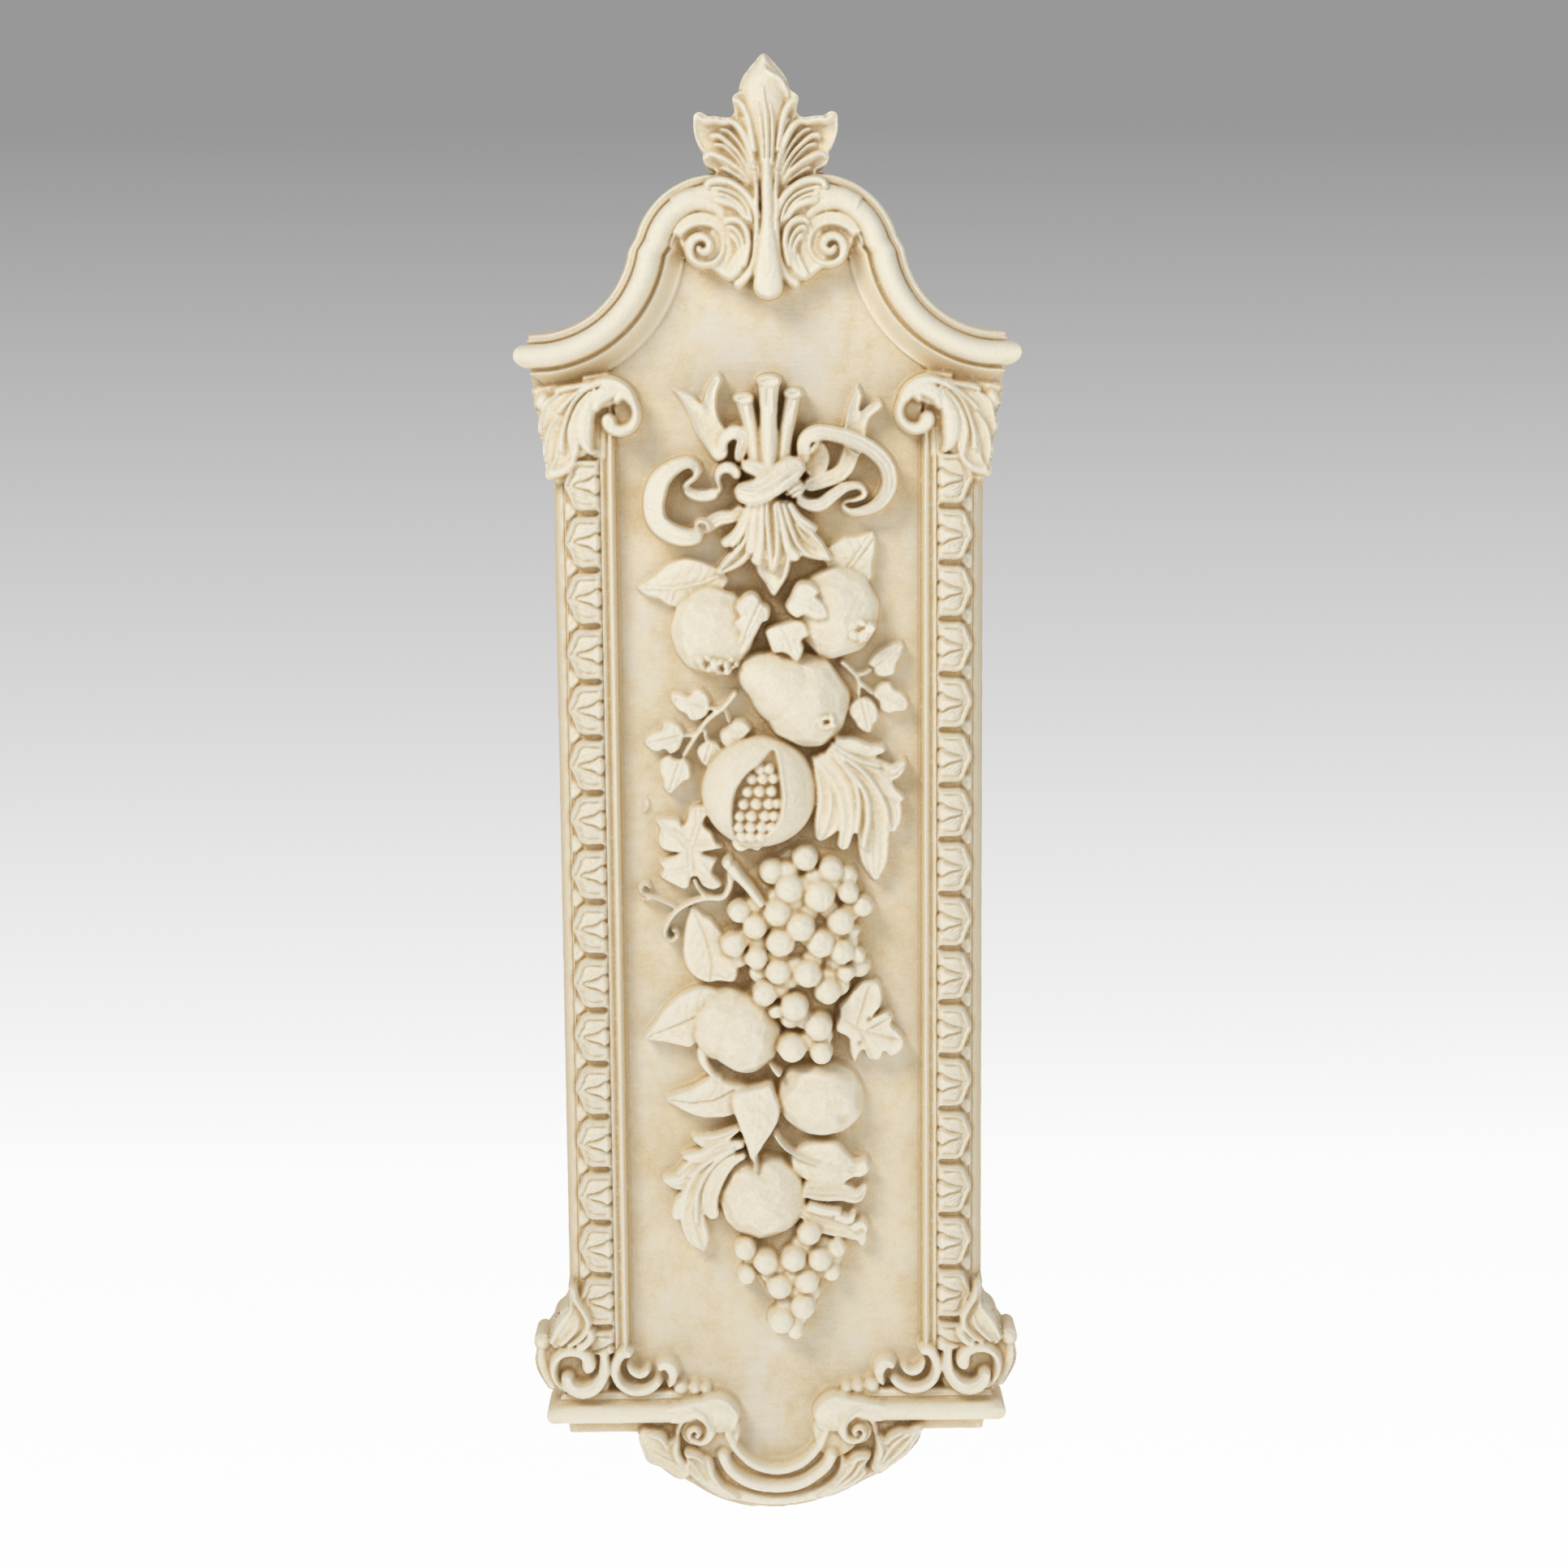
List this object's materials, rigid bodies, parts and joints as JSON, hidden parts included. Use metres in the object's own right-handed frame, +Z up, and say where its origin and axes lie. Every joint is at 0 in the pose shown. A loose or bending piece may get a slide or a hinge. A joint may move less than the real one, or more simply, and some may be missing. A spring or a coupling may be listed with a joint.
{
  "type": "decorative wall plaque",
  "caption": "Tall cast wall plaque with an arched top, leaf finial and pilasters, its panel carved with a hanging garland of fruit, leaves and grapes below a ribbon bow.",
  "frame": {"origin": "middle of the flat back, on the wall, at mid-height of the plaque", "axes": "+Z up, +Y into the wall, so the carved front faces -Y; +X to the viewer's right"},
  "size_m": [0.372, 0.06, 1.098],
  "materials": {
    "painted_plaster": "matt ivory paint with a tan antique wash in the hollows, over cast plaster"
  },
  "bodies": {
    "root": {"plaque": "painted_plaster"}
  },
  "joints": []
}
